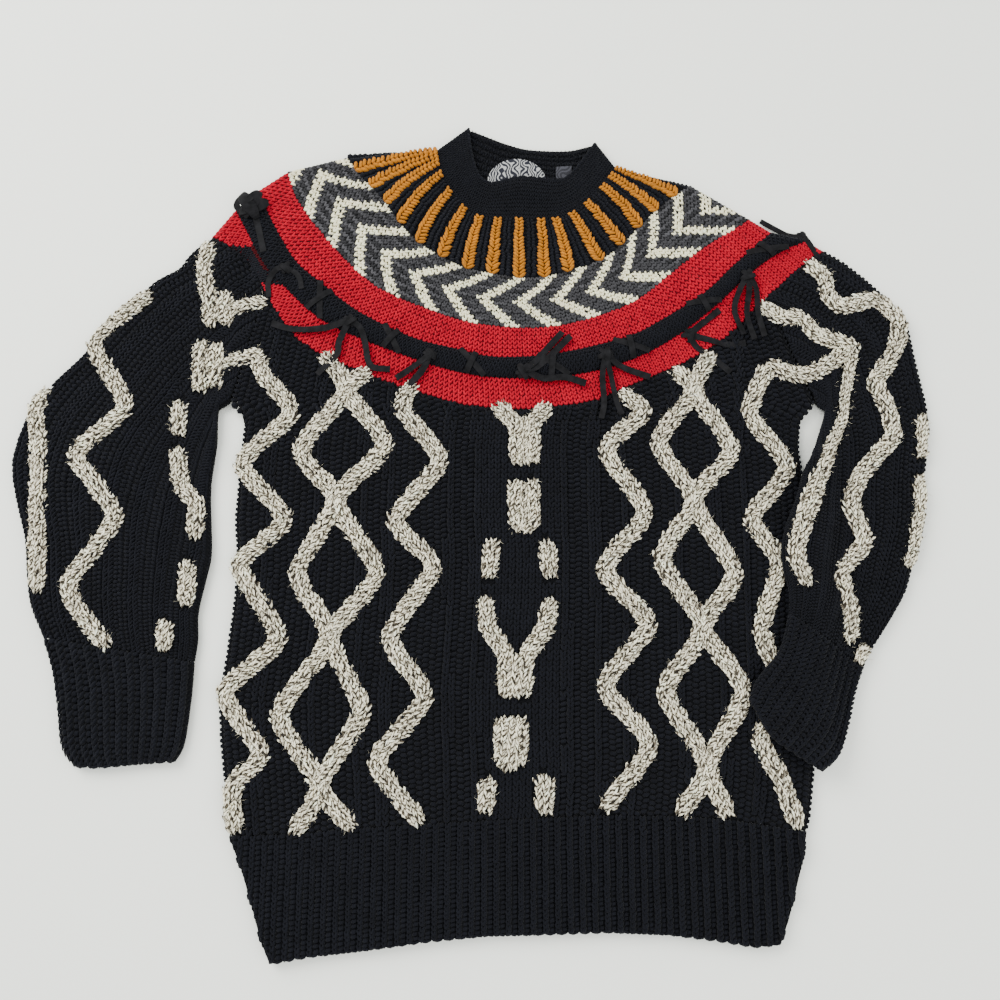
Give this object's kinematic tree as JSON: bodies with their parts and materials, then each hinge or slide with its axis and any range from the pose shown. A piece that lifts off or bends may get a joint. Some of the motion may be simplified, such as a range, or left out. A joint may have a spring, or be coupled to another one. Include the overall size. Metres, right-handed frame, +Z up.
{
  "type": "pullover sweater",
  "caption": "Chunky knitted round-yoke pullover laid flat, with marled zigzag and diamond cables, red, charcoal and mustard yoke bands, and suede lacing with tied strands over a rolled band.",
  "frame": {"origin": "on the floor under the middle of the laid-out pullover's box", "axes": "+X to the right as the front is seen from above, +Y towards the neck, +Z up from the floor through the cloth"},
  "size_m": [0.8719, 0.7958, 0.0296],
  "materials": {
    "black_knit": "matt wool knit",
    "red_knit": "matt wool stocking stitch",
    "charcoal_chevron_knit": "matt wool, charcoal heather with cream chevrons",
    "mustard_stripe_knit": "matt wool, mustard ribs on black",
    "roll_knit": "matt black rolled knit",
    "suede_lace": "dark suede",
    "woven_label": "plain woven label",
    "dark_tag": "plain dark woven tag"
  },
  "bodies": {
    "root": {"back_panel": "black_knit", "front_panel": "black_knit", "hem_rib_front": "black_knit", "hem_rib_back": "black_knit", "sleeve_left": "black_knit", "sleeve_right": "black_knit", "cuff_left": "black_knit", "cuff_right": "black_knit", "neckband": "black_knit", "yoke_stripe_band": "mustard_stripe_knit", "yoke_chevron_band": "charcoal_chevron_knit", "yoke_red_band_upper": "red_knit", "yoke_roll": "roll_knit", "yoke_red_band_lower": "red_knit", "neck_label": "woven_label", "size_tag": "dark_tag", "lace_cross_1": "suede_lace", "lace_cross_2": "suede_lace", "lace_cross_3": "suede_lace", "lace_cross_4": "suede_lace", "lace_cross_5": "suede_lace", "lace_cross_6": "suede_lace", "lace_cross_7": "suede_lace", "lace_tassel_1": "suede_lace", "lace_tassel_2": "suede_lace", "lace_tassel_3": "suede_lace", "lace_tassel_4": "suede_lace", "lace_tassel_5": "suede_lace", "lace_tassel_6": "suede_lace", "lace_tassel_7": "suede_lace", "lace_tassel_8": "suede_lace", "lace_tassel_9": "suede_lace"}
  },
  "joints": []
}
